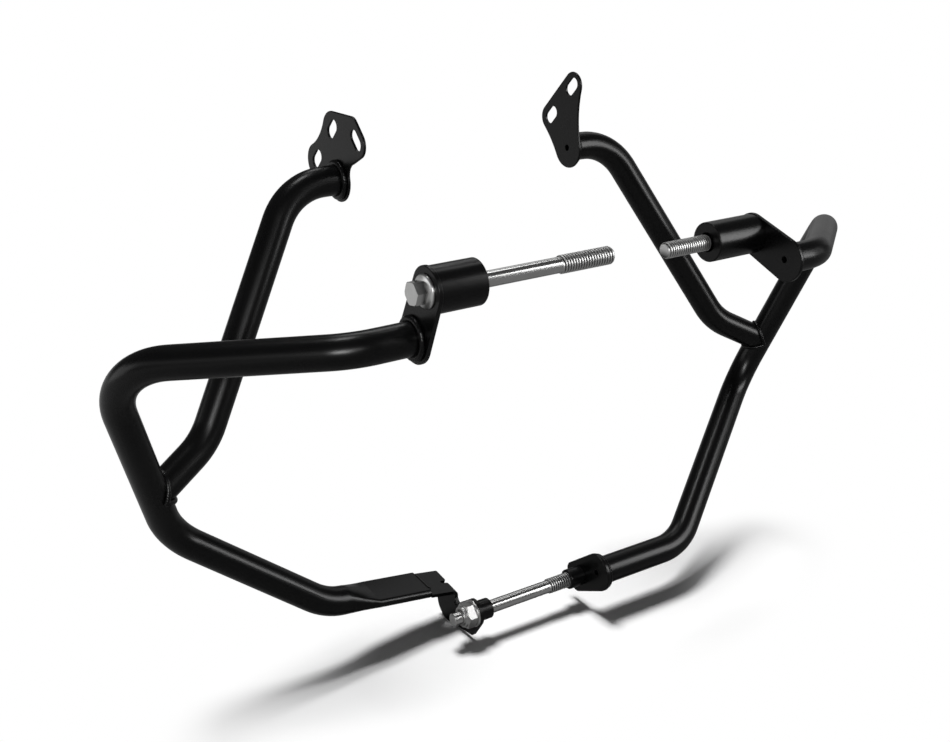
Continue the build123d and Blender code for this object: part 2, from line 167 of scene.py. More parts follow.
class NodeBench:
    """A node tree under construction."""

    def __init__(self, tree: bpy.types.NodeTree) -> None:
        """Takes an empty tree.

        Args:
            tree: the tree of a material or of the world; its default nodes are removed.
        """
        self.tree = tree
        tree.nodes.clear()

    def add(self, kind: str, settings: dict | None = None, inputs: dict | None = None, out: int | str = 0) -> Wire:
        """Adds any node.

        Args:
            kind: the node's type.
            settings: the node's own properties, set first.
            inputs: values or wires for its sockets, by name or number.
            out: the output that is wanted.

        Returns:
            That output.
        """
        node = self.tree.nodes.new(kind)
        for key, value in (settings or {}).items():
            setattr(node, key, value)
        for key, value in (inputs or {}).items():
            if isinstance(value, Wire):
                self.tree.links.new(value.socket, node.inputs[key])
            else:
                node.inputs[key].default_value = value
        return Wire(self, node.outputs[out] if node.outputs else None)

    def noise(self, where: Wire, scale: float, detail: float = 2.0) -> Wire:
        """Noise between 0 and 1.

        Args:
            where: the coordinates.
            scale: how many features to the metre.
            detail: octaves of finer noise.

        Returns:
            The noise value.
        """
        return self.add("ShaderNodeTexNoise", None, {"Vector": where, "Scale": scale, "Detail": detail})

    def place(self) -> Wire:
        """The part's own coordinates, in metres."""
        return self.add("ShaderNodeTexCoord", None, None, "Object")

    def stretched(self, scale: tuple[float, float, float]) -> Wire:
        """The part's coordinates, scaled differently along each axis."""
        return self.add("ShaderNodeMapping", None, {"Vector": self.place(), "Scale": scale})

    def blend(self, amount: Wire, low: Wire | Colour, high: Wire | Colour) -> Wire:
        """A colour between two others.

        Args:
            amount: 0 for the first colour, 1 for the second.
            low: the first colour.
            high: the second colour.

        Returns:
            The mixed colour.
        """
        return self.add("ShaderNodeMix", {"data_type": "RGBA"}, {0: amount, 6: low, 7: high}, 2)

    def bump(self, height: Wire, strength: float, distance: float) -> Wire:
        """A surface normal disturbed by a height.

        Args:
            height: the height.
            strength: how much of it is used.
            distance: the depth in metres of a height of one.

        Returns:
            The normal.
        """
        return self.add("ShaderNodeBump", None, {"Height": height, "Strength": strength, "Distance": distance})


def new_material(name: str) -> tuple[bpy.types.Material, NodeBench]:
    """An empty material and its bench."""
    material = bpy.data.materials.new(name)
    material.use_nodes = True
    return material, NodeBench(material.node_tree)


@dataclass(frozen=True)
class PowderCoat:
    """Baked satin black powder coat."""

    black: Colour = (0.0020, 0.0020, 0.0021, 1.0)
    bloom: Colour = (0.0040, 0.0040, 0.0042, 1.0)
    gloss: float = 0.28
    gloss_spread: float = 0.05
    sheen_level: float = 0.195
    peel_per_metre: float = 620.0
    peel_octaves: float = 3.0
    sag_per_metre: float = 75.0
    sag_octaves: float = 1.0
    cloud_per_metre: float = 22.0
    cloud_octaves: float = 4.0
    speck_per_metre: float = 2400.0
    speck_octaves: float = 1.0
    speck_share: float = 0.3
    speck_spread: float = 0.02
    peel_height: float = 0.16
    sag_height: float = 1.2
    bump_strength: float = 0.06
    bump_depth: float = 0.10 * MM

    def material(self) -> bpy.types.Material:
        """The coat: orange peel, slow waves where it pooled, and a faint dry bloom."""
        material, bench = new_material("satin_black_coat")
        here = bench.place()
        peel = bench.noise(here, self.peel_per_metre, self.peel_octaves)
        sag = bench.noise(here, self.sag_per_metre, self.sag_octaves)
        cloud = bench.noise(here, self.cloud_per_metre, self.cloud_octaves)
        speck = bench.noise(here, self.speck_per_metre, self.speck_octaves)
        height = peel * self.peel_height + sag * self.sag_height
        colour = bench.blend(cloud * (1 - self.speck_share) + speck * self.speck_share, self.black, self.bloom)
        rough = (cloud - 0.5) * self.gloss_spread + (speck - 0.5) * self.speck_spread + self.gloss
        surface = bench.add("ShaderNodeBsdfPrincipled", None, {
            "Base Color": colour,
            "Roughness": rough,
            "Specular IOR Level": self.sheen_level,
            "Normal": bench.bump(height, self.bump_strength, self.bump_depth),
        })
        bench.add("ShaderNodeOutputMaterial", None, {"Surface": surface})
        return material


@dataclass(frozen=True)
class ZincPlate:
    """Bright zinc plate over machined steel, turned about the X axis."""

    pale: Colour = (0.70, 0.70, 0.694, 1.0)
    dull: Colour = (0.58, 0.58, 0.575, 1.0)
    # Painted shade: the near-black that the thread roots are darkened towards, standing in for the shade deep in the
    # grooves.
    root: Colour = (0.03, 0.03, 0.03, 1.0)
    gloss: float = 0.20
    satin_spread: float = 0.13
    cloud_per_metre: float = 120.0
    cloud_octaves: float = 1.0
    cloud_spread: float = 0.02
    turned_per_metre: float = 2600.0
    turned_stretch: tuple[float, float, float] = (1.0, 0.04, 0.04)
    turned_height: float = 0.6
    drawn_per_metre: float = 900.0
    drawn_stretch: tuple[float, float, float] = (0.03, 1.0, 1.0)
    drawn_height: float = 0.4
    drawn_share: float = 0.25
    drawn_spread: float = 0.02
    root_spread: float = 0.15
    bump_strength: float = 0.02
    bump_depth: float = 0.04 * MM

    def material(self) -> bpy.types.Material:
        """The plate: turned lines round the axis, drawn streaks along it, cloudy passivation, and painted shade that
        darkens the thread roots.
        """
        material, bench = new_material("bright_zinc_plate")
        turned = bench.noise(bench.stretched(self.turned_stretch), self.turned_per_metre)
        drawn = bench.noise(bench.stretched(self.drawn_stretch), self.drawn_per_metre)
        cloud = bench.noise(bench.place(), self.cloud_per_metre, self.cloud_octaves)
        hollow, satin = (bench.add("ShaderNodeAttribute", {"attribute_name": name}, None, "Fac")
                         for name in (HOLLOW, SATIN))
        plate = bench.blend(cloud * (1 - self.drawn_share) + drawn * self.drawn_share, self.dull, self.pale)
        # Painted shade: the colour goes towards near-black with the depth into a thread root.
        colour = bench.blend(hollow, plate, self.root)
        uneven = (cloud - 0.5) * self.cloud_spread + (drawn - 0.5) * self.drawn_spread
        rough = uneven + hollow * self.root_spread + satin * self.satin_spread + self.gloss
        height = turned * self.turned_height + drawn * self.drawn_height
        surface = bench.add("ShaderNodeBsdfPrincipled", None, {
            "Base Color": colour,
            "Metallic": 1.0,
            "Roughness": rough,
            "Normal": bench.bump(height, self.bump_strength, self.bump_depth),
        })
        bench.add("ShaderNodeOutputMaterial", None, {"Surface": surface})
        return material


def deselect_all() -> None:
    """Leaves object mode with nothing selected."""
    if bpy.context.mode != "OBJECT":
        bpy.ops.object.mode_set(mode="OBJECT")
    bpy.ops.object.select_all(action="DESELECT")


class Workpiece:
    """A mesh under way, shaped with Blender's own operators."""

    def __init__(self, obj: bpy.types.Object, name: str) -> None:
        """Takes an object and names it and its mesh."""
        self.obj = obj
        obj.name = name
        obj.data.name = name

    @classmethod
    def carried(cls, node: str, name: str) -> "Workpiece":
        """A CAD node's shape as a new mesh, its loose triangles merged and flat areas made whole.

        Args:
            node: the CAD node.
            name: the new piece's name.

        Returns:
            The piece.
        """
        obj = bpy.data.objects.new(name, frame["nodes"][node].data.copy())
        obj.data.materials.clear()
        bpy.context.scene.collection.objects.link(obj)
        piece = cls(obj, name)
        piece.activate()
        bpy.ops.mesh.customdata_custom_splitnormals_clear()
        with piece.editing():
            bpy.ops.mesh.remove_doubles(threshold=CAD_MERGE)
            bpy.ops.mesh.dissolve_limited(angle_limit=math.radians(FLAT_ANGLE))
        return piece

    @classmethod
    def drawn(cls, name: str, points: Sequence[Vector]) -> "Workpiece":
        """A line drawn point by point, as the profile for a lathe or a screw.

        Args:
            name: the piece's name.
            points: the line's points, in metres.

        Returns:
            The piece, a chain of edges.
        """
        deselect_all()
        bpy.ops.mesh.primitive_plane_add(size=MM)
        piece = cls(bpy.context.active_object, name)
        with piece.editing():
            bpy.ops.mesh.merge(type="CENTER")
            bpy.ops.transform.translate(value=points[0])
            for here, there in zip(points, points[1:]):
                bpy.ops.mesh.extrude_vertices_move(TRANSFORM_OT_translate={"value": there - here})
        return piece

    @classmethod
    def prism(cls, name: str, corners: int, radius: float, x: tuple[float, float], turn: float) -> "Workpiece":
        """A many-sided bar along X.

        Args:
            name: the piece's name.
            corners: how many sides it has.
            radius: from the axis to a corner, in metres.
            x: where it starts and ends, in metres.
            turn: its turn about X, in degrees; at zero two corners point forward and rearward.

        Returns:
            The piece.
        """
        deselect_all()
        bpy.ops.mesh.primitive_cylinder_add(
            vertices=corners, radius=radius, depth=x[1] - x[0],
            location=((x[0] + x[1]) / 2, 0, 0), rotation=(0, math.pi / 2, 0))
        piece = cls(bpy.context.active_object, name)
        piece.settle()
        piece.obj.matrix_world = Matrix.Rotation(math.radians(turn), 4, "X")
        piece.settle()
        return piece

    @classmethod
    def ball(cls, name: str, axes: Vector, turn: Matrix, segments: int = 20, rings: int = 12) -> "Workpiece":
        """A flattened ball.

        Args:
            name: the piece's name.
            axes: its three half axes, in metres.
            turn: how it is turned and placed.
            segments: facets round it.
            rings: facets from pole to pole.

        Returns:
            The piece.
        """
        deselect_all()
        bpy.ops.mesh.primitive_uv_sphere_add(segments=segments, ring_count=rings, radius=1.0)
        piece = cls(bpy.context.active_object, name)
        with piece.editing():
            bpy.ops.transform.resize(value=axes)
        piece.obj.matrix_world = turn
        piece.settle()
        return piece

    def activate(self) -> None:
        """Makes this the one selected and active object."""
        deselect_all()
        self.obj.select_set(True)
        bpy.context.view_layer.objects.active = self.obj

    @contextmanager
    def editing(self) -> Iterator[None]:
        """Edit mode with everything selected, and object mode again at the end."""
        self.activate()
        bpy.ops.object.mode_set(mode="EDIT")
        bpy.ops.mesh.select_mode(type="VERT")
        bpy.ops.mesh.select_all(action="SELECT")
        yield
        bpy.ops.object.mode_set(mode="OBJECT")

    def settle(self) -> None:
        """Puts the object's place and turn into its mesh."""
        self.activate()
        bpy.ops.object.transform_apply(location=True, rotation=True, scale=True)

    def lathe(self, steps: int) -> "Workpiece":
        """Turns the profile round the X axis into a closed shell.

        Args:
            steps: facets to the full turn.

        Returns:
            The piece itself.
        """
        with self.editing():
            bpy.ops.mesh.spin(steps=steps, angle=2 * math.pi, center=(0, 0, 0), axis=(1, 0, 0))
            bpy.ops.mesh.select_all(action="SELECT")
            bpy.ops.mesh.remove_doubles(threshold=MERGE)
            bpy.ops.mesh.normals_make_consistent(inside=False)
        return self

    def cut(self, at: Vector, away: Vector) -> None:
        """Cuts off what lies beyond a plane and closes the cut.

        Args:
            at: a point of the plane.
            away: the direction that is removed.
        """
        with self.editing():
            bpy.ops.mesh.bisect(plane_co=at, plane_no=away, use_fill=True, clear_outer=True, threshold=CUT_SLACK)

    def mark(self, name: str, value: Callable[[Vector], float]) -> None:
        """Stores a number at every point, for a finish to read.

        Args:
            name: the number's name.
            value: works it out from the point's place in metres.
        """
        marks = self.obj.data.attributes
        layer = marks.get(name) or marks.new(name, "FLOAT", "POINT")
        for vertex, spot in zip(self.obj.data.vertices, layer.data):
            spot.value = value(vertex.co)

    def turn_down(self, line: Profile, slack: float = 0.01) -> None:
        """Brings every point outside a profile about the X axis in to it, as a lathe would.

        Args:
            line: (along the axis, radius) pairs in millimetres, in order.
            slack: how far past a stretch's ends a point still counts, in millimetres.
        """
        for vertex in self.obj.data.vertices:
            x, radius = vertex.co.x / MM, math.hypot(vertex.co.y, vertex.co.z) / MM
            for (x0, r0), (x1, r1) in zip(line, line[1:]):
                limit = r0 + (r1 - r0) * (x - x0) / (x1 - x0)
                if x0 - slack <= x <= x1 + slack and radius > limit:
                    vertex.co.yz *= limit / radius
                    radius = limit

    def modify(self, kind: str, **settings: object) -> None:
        """Adds a modifier and applies it.

        Args:
            kind: the modifier's type.
            **settings: its properties.
        """
        self.activate()
        modifier = self.obj.modifiers.new(kind.title(), kind)
        for key, value in settings.items():
            setattr(modifier, key, value)
        bpy.ops.object.modifier_apply(modifier=modifier.name)

    def combine(self, other: "Workpiece", operation: str) -> None:
        """Unites with, keeps the common part with, or takes away another piece, which is used up.

        Args:
            other: the other piece.
            operation: UNION, INTERSECT or DIFFERENCE.
        """
        self.modify("BOOLEAN", operation=operation, object=other.obj, solver="EXACT")
        bpy.data.objects.remove(other.obj)

    def absorb(self, others: Sequence["Workpiece"]) -> None:
        """Joins other pieces into this mesh."""
        self.activate()
        for other in others:
            other.obj.select_set(True)
        bpy.ops.object.join()

    def duplicate(self, name: str, matrix: Matrix) -> "Workpiece":
        """A copy with its own mesh, moved to its place.

        Args:
            name: the copy's name.
            matrix: where it goes.

        Returns:
            The copy.
        """
        self.activate()
        bpy.ops.object.duplicate(linked=False)
        twin = Workpiece(bpy.context.active_object, name)
        twin.obj.matrix_world = matrix
        twin.settle()
        return twin

    def soften(self, width: float, segments: int = 2, angle: float = 30.0) -> None:
        """Rounds the sharp edges.

        Args:
            width: how far the rounding reaches, in metres.
            segments: facets across it.
            angle: edges sharper than this many degrees are rounded.
        """
        self.modify("BEVEL", width=width, segments=segments, limit_method="ANGLE",
                    angle_limit=math.radians(angle), miter_outer="MITER_ARC", harden_normals=False)

    def smooth(self, angle: float) -> None:
        """Shades the piece smooth, with creases above an angle in degrees."""
        self.activate()
        bpy.ops.object.shade_smooth_by_angle(angle=math.radians(angle))

    def level(self) -> None:
        """Keeps flat areas flat up to their rounded edges."""
        self.modify("WEIGHTED_NORMAL", mode="FACE_AREA", weight=100, keep_sharp=True)

    def fuse(self, voxel: float, rounds: int) -> None:
        """Melts overlapping shells into one skin.

        Args:
            voxel: the skin's grain, in metres.
            rounds: how often it is smoothed.
        """
        self.modify("REMESH", mode="VOXEL", voxel_size=voxel)
        self.modify("SMOOTH", factor=0.5, iterations=rounds)

    def dress(self, material: bpy.types.Material, slot: Slot, *nodes: str) -> None:
        """Gives the piece its finish and puts it in place of CAD nodes.

        Args:
            material: the finish.
            slot: the record's name of the finish; not used.
            *nodes: the nodes that it stands for.
        """
        self.obj.data.materials.clear()
        self.obj.data.materials.append(material)
        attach(self.obj, "root")
        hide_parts(*nodes)
        log.info("%s: %d faces", self.obj.name, len(self.obj.data.polygons))


@dataclass
class CoatedMetal:
    """The tubes, plates, spacers, bushes and bracket under their coat."""

    coat: bpy.types.Material
    edge_round: float = 0.32 * MM
    crease: float = 40.0
    plates: tuple[str, ...] = (
        "right_upper_plate", "left_upper_plate", "right_rear_plate", "left_rear_plate", "left_lower_plate",
        "right_lower_bracket")
    turned: tuple[str, ...] = ("right_upper_spacer", "left_upper_spacer", "right_lower_bush", "left_lower_bush")
    tubes: tuple[str, ...] = ("right_main_tube", "left_main_tube", "right_brace_tube", "left_brace_tube")

    def build(self) -> None:
        """Builds and dresses every coated piece but the welds."""
        for node in self.plates + self.turned:
            piece = Workpiece.carried(node, node + "_coated")
            piece.soften(self.edge_round)
            piece.smooth(self.crease)
            piece.level()
            piece.dress(self.coat, Slot.BLACK_COAT, node)
        for node in self.tubes:
            piece = Workpiece.carried(node, node + "_coated")
            piece.smooth(self.crease)
            piece.dress(self.coat, Slot.BLACK_COAT, node)


@dataclass
class RingWelds:
    """Beads round the tubes that stand on plates, laid down drop by drop."""

    coat: bpy.types.Material
    tube_r: float = 11.0 * MM
    leg: float = 3.6 * MM
    drops: int = 34
    drop_place: float = 0.36
    drop_axes: tuple[float, float, float] = (0.58, 1.10, 0.58)
    drop_lean: float = 14.0
    core_sunk: float = 0.3 * MM
    core_foot: float = 0.8
    core_waist: float = 0.55
    core_steps: int = 90
    grain: float = 0.26 * MM
    melts: int = 8
    nodes: tuple[str, ...] = (
        "right_upper_weld", "left_upper_weld", "right_rear_weld", "left_rear_weld", "left_lower_weld")

    def bead(self) -> Workpiece:
        """One ring bead round the X axis, its base at zero and its crown towards positive X."""
        rise = self.leg * self.drop_place
        lean = Matrix.Translation((rise, 0, self.tube_r + rise)) @ Matrix.Rotation(
            math.radians(self.drop_lean), 4, "X")
        drop = Workpiece.ball("drop", Vector([self.leg * share for share in self.drop_axes]), lean)
        with drop.editing():
            bpy.ops.mesh.spin(steps=self.drops, dupli=True, angle=2 * math.pi, center=(0, 0, 0), axis=(1, 0, 0))
        low, high = -self.core_sunk, self.tube_r - self.core_sunk
        foot, waist = self.leg * self.core_foot, self.leg * self.core_waist
        line = [(low, high), (low, self.tube_r + foot), (waist, self.tube_r + waist), (foot, high), (low, high)]
        core = Workpiece.drawn("core", [Vector((x, 0, r)) for x, r in line]).lathe(self.core_steps)
        drop.absorb([core])
        drop.fuse(self.grain, self.melts)
        return drop

    def build(self) -> None:
        """Copies the bead to each plate."""
        bead = self.bead()
        for node in self.nodes:
            low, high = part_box(node)
            middle = (low + high) / 2
            side = -1 if middle.x < 0 else 1
            foot = low.x if side > 0 else high.x
            turn = Matrix.Rotation(0 if side > 0 else math.pi, 4, "Z")
            copy = bead.duplicate(node + "_bead", Matrix.Translation((foot, middle.y, middle.z)) @ turn)
            copy.smooth(NO_CREASE)
            copy.dress(self.coat, Slot.BLACK_COAT, node)
        bpy.data.objects.remove(bead.obj)


@dataclass
class SaddleWelds:
    """Cord-like beads where each brace sits on its main tube, whose bends are given in millimetres."""

    coat: bpy.types.Material
    tube_r: float = 11.0 * MM
    outer_bend: tuple[float, float, float] = (315.7, 16.2, 252.8)
    knee_bend: tuple[float, float, float] = (269.0, 58.5, 105.6)
    joint_share: float = 0.752
    brace_foot: tuple[float, float, float] = (-43.6, 14.5, 23.2)
    drops: int = 64
    bead_r: float = 2.1 * MM
    sunk: float = 0.52
    fulness: dict[Side, float] = field(default_factory=lambda: {Side.RIGHT: 1.0, Side.LEFT: 0.80})
    grain: float = 0.30 * MM
    melts: int = 7
    seam_grain: float = 0.20 * MM
    seam_swell: float = 1.05 * MM
    seam_melts: int = 2

    def seat(self, side: Side, turn: float) -> tuple[Vector, Vector]:
        """Where the two tubes' skins meet.

        Args:
            side: the side of the bike.
            turn: the place round the brace, in radians.

        Returns:
            The point, and the direction out of the corner.
        """
        top, bottom = side.point(*self.outer_bend), side.point(*self.knee_bend)
        run = (bottom - top).normalized()
        joint = top + (bottom - top) * self.joint_share
        foot = side.point(*self.brace_foot).normalized()
        across = foot.cross(run).normalized()
        along = across.cross(foot)
        spoke = across * math.cos(turn) + along * math.sin(turn)
        rim = spoke * self.tube_r
        sway = foot - run * foot.dot(run)
        offset = rim - run * rim.dot(run)
        half = offset.dot(sway) / sway.length_squared
        room = half * half - (offset.length_squared - self.tube_r ** 2) / sway.length_squared
        rise = -half + math.sqrt(max(room, 0.0))
        point = joint + foot * rise + rim
        away = point - joint
        skin = (away - run * away.dot(run)).normalized()
        return point, (skin + spoke).normalized()

    def build(self) -> None:
        """Lays the drops of both beads and melts each into one skin, then the seams across the flattened end."""
        for side in Side:
            drops = []
            for step in range(self.drops):
                point, out = self.seat(side, 2 * math.pi * step / self.drops)
                radius = self.bead_r * self.fulness[side]
                place = Matrix.Translation(point + out * (radius - self.bead_r * self.sunk))
                drops.append(Workpiece.ball("drop", Vector((1, 1, 1)) * radius, place))
            bead = drops[0]
            bead.absorb(drops[1:])
            bead.fuse(self.grain, self.melts)
            bead.smooth(NO_CREASE)
            node = side.word + "_brace_weld"
            bead = Workpiece(bead.obj, node + "_bead")
            bead.dress(self.coat, Slot.BLACK_COAT, node)
        seam = Workpiece.carried("right_lower_weld", "right_lower_weld_bead")
        seam.modify("DISPLACE", strength=self.seam_swell, mid_level=0.0)
        seam.fuse(self.seam_grain, self.seam_melts)
        seam.smooth(NO_CREASE)
        seam.dress(self.coat, Slot.BLACK_COAT, "right_lower_weld")


@dataclass
class Thread:
    """A rolled metric thread about the X axis."""

    major: float = 12.0 * MM
    minor: float = 9.6 * MM
    pitch: float = 2.06 * MM
    flank: tuple[float, float] = (0.08, 0.30)
    spare: float = 1.5
    steps: int = 36
    satin: float = 1.5

    def build(self, x: tuple[float, float]) -> Workpiece:
        """A solid length of thread.

        Args:
            x: where it starts and ends, in metres.

        Returns:
            The piece, flat at both ends.
        """
        root, crest = self.minor / 2, self.major / 2
        foot, top = self.flank
        start = x[0] - self.pitch * self.spare
        turns = math.ceil((x[1] - x[0]) / self.pitch + 2 * self.spare)
        line = [(0, root), (foot, root), (top, crest), (1 - top, crest), (1 - foot, root), (1.0, root)]
        thread = Workpiece.drawn("thread", [Vector((start + share * self.pitch, 0, r)) for share, r in line])
        thread.modify("SCREW", axis="X", angle=2 * math.pi, screw_offset=self.pitch, iterations=turns,
                      steps=self.steps, render_steps=self.steps)
        with thread.editing():
            bpy.ops.mesh.remove_doubles(threshold=MERGE)
            bpy.ops.mesh.normals_make_consistent(inside=False)
        thread.cut(Vector((x[0], 0, 0)), Vector((-1, 0, 0)))
        thread.cut(Vector((x[1], 0, 0)), Vector((1, 0, 0)))
        with thread.editing():
            bpy.ops.mesh.normals_make_consistent(inside=False)
        # Depth into the groove, 0 at the crest and 1 at the root, which the plate paints as shade and makes rougher.
        thread.mark(HOLLOW, lambda spot: (crest - math.hypot(spot.y, spot.z)) / (crest - root))
        thread.mark(SATIN, lambda spot: self.satin)
        return thread


def turned_shape(name: str, line: Profile, steps: int = 72) -> Workpiece:
    """A lathe-turned solid about the X axis.

    Args:
        name: the piece's name.
        line: (along the axis, radius) pairs in millimetres; a solid bar starts and ends on the axis.
        steps: facets round it.

    Returns:
        The piece.
    """
    return Workpiece.drawn(name, [Vector((x, 0, r)) * MM for x, r in line]).lathe(steps)


@dataclass
class Fasteners:
    """The two flanged bolts, the long stud, its nut and its washer, with their lengths in millimetres."""

    zinc: bpy.types.Material
    thread: Thread = field(default_factory=Thread)
    shank_r: float = 5.15
    thread_r: float = 6.0
    hexagon_turn: float = -10.0
    head_af: float = 13.6
    head_l: float = 10.0
    head_sunk: float = 1.0
    head_turned: float = 0.50
    head_neck: float = 0.42
    hexagon_face: float = 0.97
    hexagon_chamfer: float = 0.62
    hexagon_clear: float = 0.02
    hexagon_round: float = 0.40
    hexagon_crease: float = 24.0
    hexagon_satin: float = 0.25
    flange_r: float = 10.75
    flange_t: float = 1.6
    flange_rise: float = 3.3
    flange_edge: Profile = ((-0.35, 1.0), (0.0, 0.45), (0.3, 0.12), (0.7, 0.0))
    flange_foot: float = 0.25
    fillet: float = 0.5
    face_depth: float = 0.2
    lap: float = 0.6
    fine_steps: int = 96
    bolt_thread_l: float = 41.2
    nut_af: float = 18.0
    collar_r: float = 8.25
    collar_l: float = 2.2
    collar_edge: Profile = ((1.1, 0.0), (0.5, 0.18), (0.12, 0.65), (0.0, 1.2))
    nut_lap: float = 1.0
    nut_turned: float = 1.0
    bore_r: float = 6.1
    bore_mouth_r: float = 6.9
    bore_chamfer: float = 0.8
    washer_hole_r: float = 6.5
    washer_edge: Profile = ((0.0, 0.5), (0.15, 0.18), (0.45, 0.0))
    washer_bevel: float = 0.2
    washer_steps: int = 90
    small_satin: float = 1.0
    stud_tip_r: float = 5.1
    stud_tip_l: float = 7.5
    stud_tip_chamfer: float = 0.7
    right_thread_end: float = -48.25
    left_thread_start: float = 13.2
    lead: float = 1.2
    inner_lead: float = 0.8
    runout_slope: float = 1.6
    runout_sunk: float = 0.1
    sawn_satin: float = 3.2

    def hexagon(self, across: float, x: tuple[float, float], domed: Sequence[float], share: float) -> Workpiece:
        """A hexagon about the X axis with its corners turned down.

        Args:
            across: the distance across its flats, in millimetres.
            x: where it starts and ends, in millimetres.
            domed: the ends that are turned down, as the same X values.
            share: how much of the corners is turned away at those ends, 1 leaving a round face.

        Returns:
            The piece.
        """
        corner = across / 2 / math.cos(math.pi / HEXAGON_SIDES)
        body = Workpiece.prism("hexagon", HEXAGON_SIDES, corner * MM, (x[0] * MM, x[1] * MM), self.hexagon_turn)
        face = corner - (corner - across / 2 * self.hexagon_face) * share
        drop, clear = (corner - face) * self.hexagon_chamfer, corner + self.hexagon_clear
        line = [(x[0], 0)]
        line += [(x[0], face), (x[0] + drop, clear)] if x[0] in domed else [(x[0], clear)]
        line += [(x[1] - drop, clear), (x[1], face)] if x[1] in domed else [(x[1], clear)]
        body.combine(turned_shape("cone", line + [(x[1], 0)], self.fine_steps), "INTERSECT")
        body.soften(self.hexagon_round * MM, angle=self.hexagon_crease)
        body.mark(SATIN, lambda spot: self.hexagon_satin)
        return body

    def threaded(self, start: float, stop: float, lead: float) -> Workpiece:
        """A length of thread that runs out at its start and is chamfered at its end.

        Args:
            start: where it starts, in millimetres.
            stop: where it ends, in millimetres.
            lead: the chamfer at the end, in millimetres.

        Returns:
            The piece.
        """
        thread = self.thread.build((start * MM, stop * MM))
        runout = (self.thread_r - self.shank_r) * self.runout_slope
        thread.turn_down([
            (start, self.shank_r - self.runout_sunk), (start + runout, self.thread_r), (stop - lead, self.thread_r),
            (stop, self.thread_r - lead)])
        return thread

    def bolt(self, length: float) -> Workpiece:
        """A flanged bolt about the X axis: bearing face at zero, head towards negative X.

        Args:
            length: from bearing face to tip, in millimetres.

        Returns:
            The piece.
        """
        start = length - self.bolt_thread_l
        rim, foot, shank = self.flange_r, self.flange_foot, self.shank_r
        body = turned_shape("bolt", [
            (-self.flange_rise, 0), (-self.flange_rise, self.head_af * self.head_neck),
            *((-self.flange_t + x, rim - inward) for x, inward in self.flange_edge),
            (-foot, rim), (0, rim - foot), (0, shank + self.fillet), (self.fillet, shank),
            (start + self.lap, shank), (start + self.lap, 0)], self.fine_steps)
        body.mark(SATIN, lambda spot: float(spot.x < self.face_depth * MM))
        head = self.hexagon(self.head_af, (-self.head_l, -self.head_sunk), (-self.head_l,), self.head_turned)
        body.absorb([head, self.threaded(start, length, self.lead)])
        body.smooth(PLATED_CREASE)
        body.level()
        return body

    def stud(self) -> Workpiece:
        """The long stud: thread at both ends, a slimmer shank and a plain tip."""
        low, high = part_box("lower_stud")
        tip, end = low.x / MM, high.x / MM
        nut_top = tip + self.stud_tip_l
        chamfer = self.stud_tip_chamfer
        body = turned_shape("stud", [
            (tip, 0), (tip, self.stud_tip_r - chamfer), (tip + chamfer, self.stud_tip_r),
            (nut_top + self.lap, self.stud_tip_r), (nut_top + self.lap, 0)])
        body.mark(SATIN, lambda spot: self.sawn_satin * float(spot.x < (tip + self.face_depth) * MM))
        shank = (self.right_thread_end - self.lap, self.left_thread_start + self.lap)
        middle = turned_shape("shank", [
            (shank[0], 0), (shank[0], self.shank_r), (shank[1], self.shank_r), (shank[1], 0)])
        body.absorb([self.threaded(nut_top, self.right_thread_end, self.inner_lead), middle,
                     self.threaded(self.left_thread_start, end, self.lead)])
        body.smooth(PLATED_CREASE)
        return body

    def nut(self) -> Workpiece:
        """The locking nut: a hexagon, a rolled collar and a plain bore with chamfered mouths."""
        low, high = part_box("lower_nut")
        top, seat = low.x / MM, high.x / MM
        step, lap = top + self.collar_l, self.nut_lap
        body = self.hexagon(self.nut_af, (step, seat), (step, seat), self.nut_turned)
        collar = turned_shape("collar", [
            (step + lap, 0), (step + lap, self.collar_r),
            *((top + x, self.collar_r - inward) for x, inward in self.collar_edge), (top, 0)])
        body.combine(collar, "UNION")
        mouth, chamfer = self.bore_mouth_r, self.bore_chamfer
        bore = turned_shape("bore", [
            (top - lap, 0), (top - lap, mouth), (top, mouth), (top + chamfer, self.bore_r),
            (seat - chamfer, self.bore_r), (seat, mouth), (seat + lap, mouth), (seat + lap, 0)])
        body.combine(bore, "DIFFERENCE")
        body.smooth(PLATED_CREASE)
        body.level()
        body.mark(SATIN, lambda spot: self.small_satin)
        return body

    def washer(self) -> Workpiece:
        """The washer, punched so that its outer edge is rounded."""
        low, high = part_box("lower_washer")
        x0, x1, r = low.x / MM, high.x / MM, (high.z - low.z) / 2 / MM
        hole, bevel = self.washer_hole_r, self.washer_bevel
        body = turned_shape("washer", [
            (x0, hole + bevel), *((x0 + x, r - inward) for x, inward in self.washer_edge), (x1 - bevel, r),
            (x1, r - bevel), (x1, hole + bevel), (x1 - bevel, hole), (x0 + bevel, hole), (x0, hole + bevel)],
            self.washer_steps)
        body.mark(SATIN, lambda spot: self.small_satin)
        body.smooth(PLATED_CREASE)
        return body

    def build(self) -> None:
        """Builds, places and dresses the fasteners."""
        for side in Side:
            node = side.word + "_upper_bolt"
            low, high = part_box(node)
            length = (high.x - low.x) / MM - self.head_l
            middle = (low + high) / 2
            seat = low.x + self.head_l * MM if side is Side.RIGHT else high.x - self.head_l * MM
            turn = Matrix.Rotation(0 if side is Side.RIGHT else math.pi, 4, "Z")
            bolt = Workpiece(self.bolt(length).obj, node + PLATED)
            bolt.obj.matrix_world = Matrix.Translation((seat, middle.y, middle.z)) @ turn
            bolt.settle()
            bolt.dress(self.zinc, Slot.ZINC_STEEL, node)
        makers: tuple[Callable[[], Workpiece], ...] = (self.stud, self.nut, self.washer)
        for node, maker in zip(("lower_stud", "lower_nut", "lower_washer"), makers):
            Workpiece(maker().obj, node + PLATED).dress(self.zinc, Slot.ZINC_STEEL, node)


